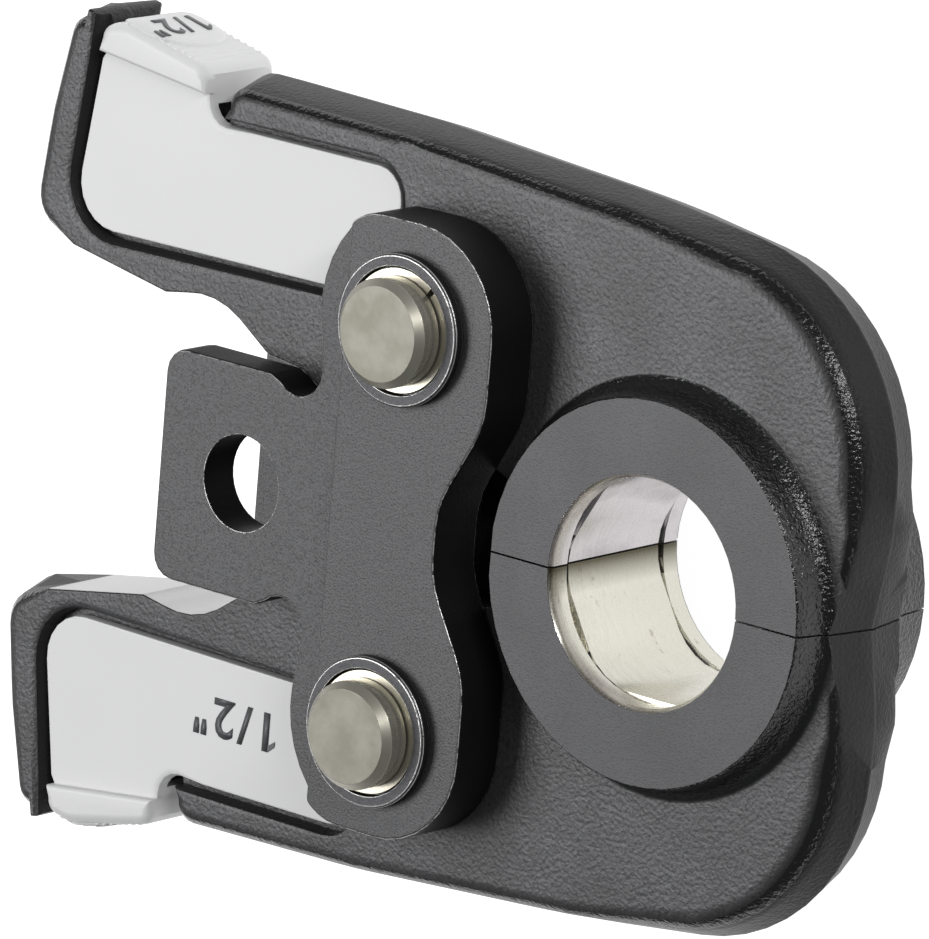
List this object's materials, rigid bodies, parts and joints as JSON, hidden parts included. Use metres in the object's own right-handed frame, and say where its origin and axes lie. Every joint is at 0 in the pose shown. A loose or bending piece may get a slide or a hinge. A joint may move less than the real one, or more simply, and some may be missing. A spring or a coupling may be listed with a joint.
{
  "type": "press fitting tool jaw",
  "caption": "Press jaw for small steel pipe: forged arms turn on pins between T-shaped plates and close a rounded hexagonal contour on a press fitting.",
  "frame": {"origin": "centre of the bounding box in X and Y, on the plane that the back pin ends lie in", "axes": "+X from the tails of the arms to the nose, +Y from the lower arm to the upper arm, +Z along the pins towards the numbered front face; the jaw lies on its back"},
  "size_m": [0.1581, 0.123, 0.0459],
  "materials": {
    "plate_steel": "dark phosphated steel, fine grained, worn bright at the edges",
    "forged_steel": "dark forged steel, coarse grained, with bright worn edges",
    "clip_plastic": "light grey moulded plastic",
    "pin_steel": "nickel plated, faint turning marks on the end",
    "collar_steel": "smooth dark turned steel with a worn rim",
    "spring_steel": "plain spring steel"
  },
  "bodies": {
    "plates": {"side_plate_front": "plate_steel", "side_plate_back": "plate_steel", "pivot_pin_upper": "pin_steel", "pivot_pin_lower": "pin_steel", "pin_collar_upper_front": "collar_steel", "pin_collar_upper_back": "collar_steel", "pin_collar_lower_front": "collar_steel", "pin_collar_lower_back": "collar_steel", "snap_ring_upper_front": "spring_steel", "snap_ring_upper_back": "spring_steel", "snap_ring_lower_front": "spring_steel", "snap_ring_lower_back": "spring_steel", "spring_post": "pin_steel", "closing_spring": "spring_steel"},
    "upper_arm": {"jaw_arm_upper": "forged_steel", "size_clip_upper": "clip_plastic"},
    "lower_arm": {"jaw_arm_lower": "forged_steel", "size_clip_lower": "clip_plastic"}
  },
  "joints": [
    {"name": "upper_arm_pivot", "type": "hinge", "parent": "plates", "child": "upper_arm", "pos_m": [0.00284, 0.02946, 0.02295], "axis": [0, 0, 1], "range_deg": [0, 14], "stiffness_Nm_per_rad": 1, "springref_deg": -17.19, "deforming": ["closing_spring"]},
    {"name": "lower_arm_pivot", "type": "hinge", "parent": "plates", "child": "lower_arm", "pos_m": [0.00284, -0.02946, 0.02295], "axis": [0, 0, -1], "range_deg": [0, 14], "stiffness_Nm_per_rad": 1, "springref_deg": -17.19, "deforming": ["closing_spring"]}
  ]
}
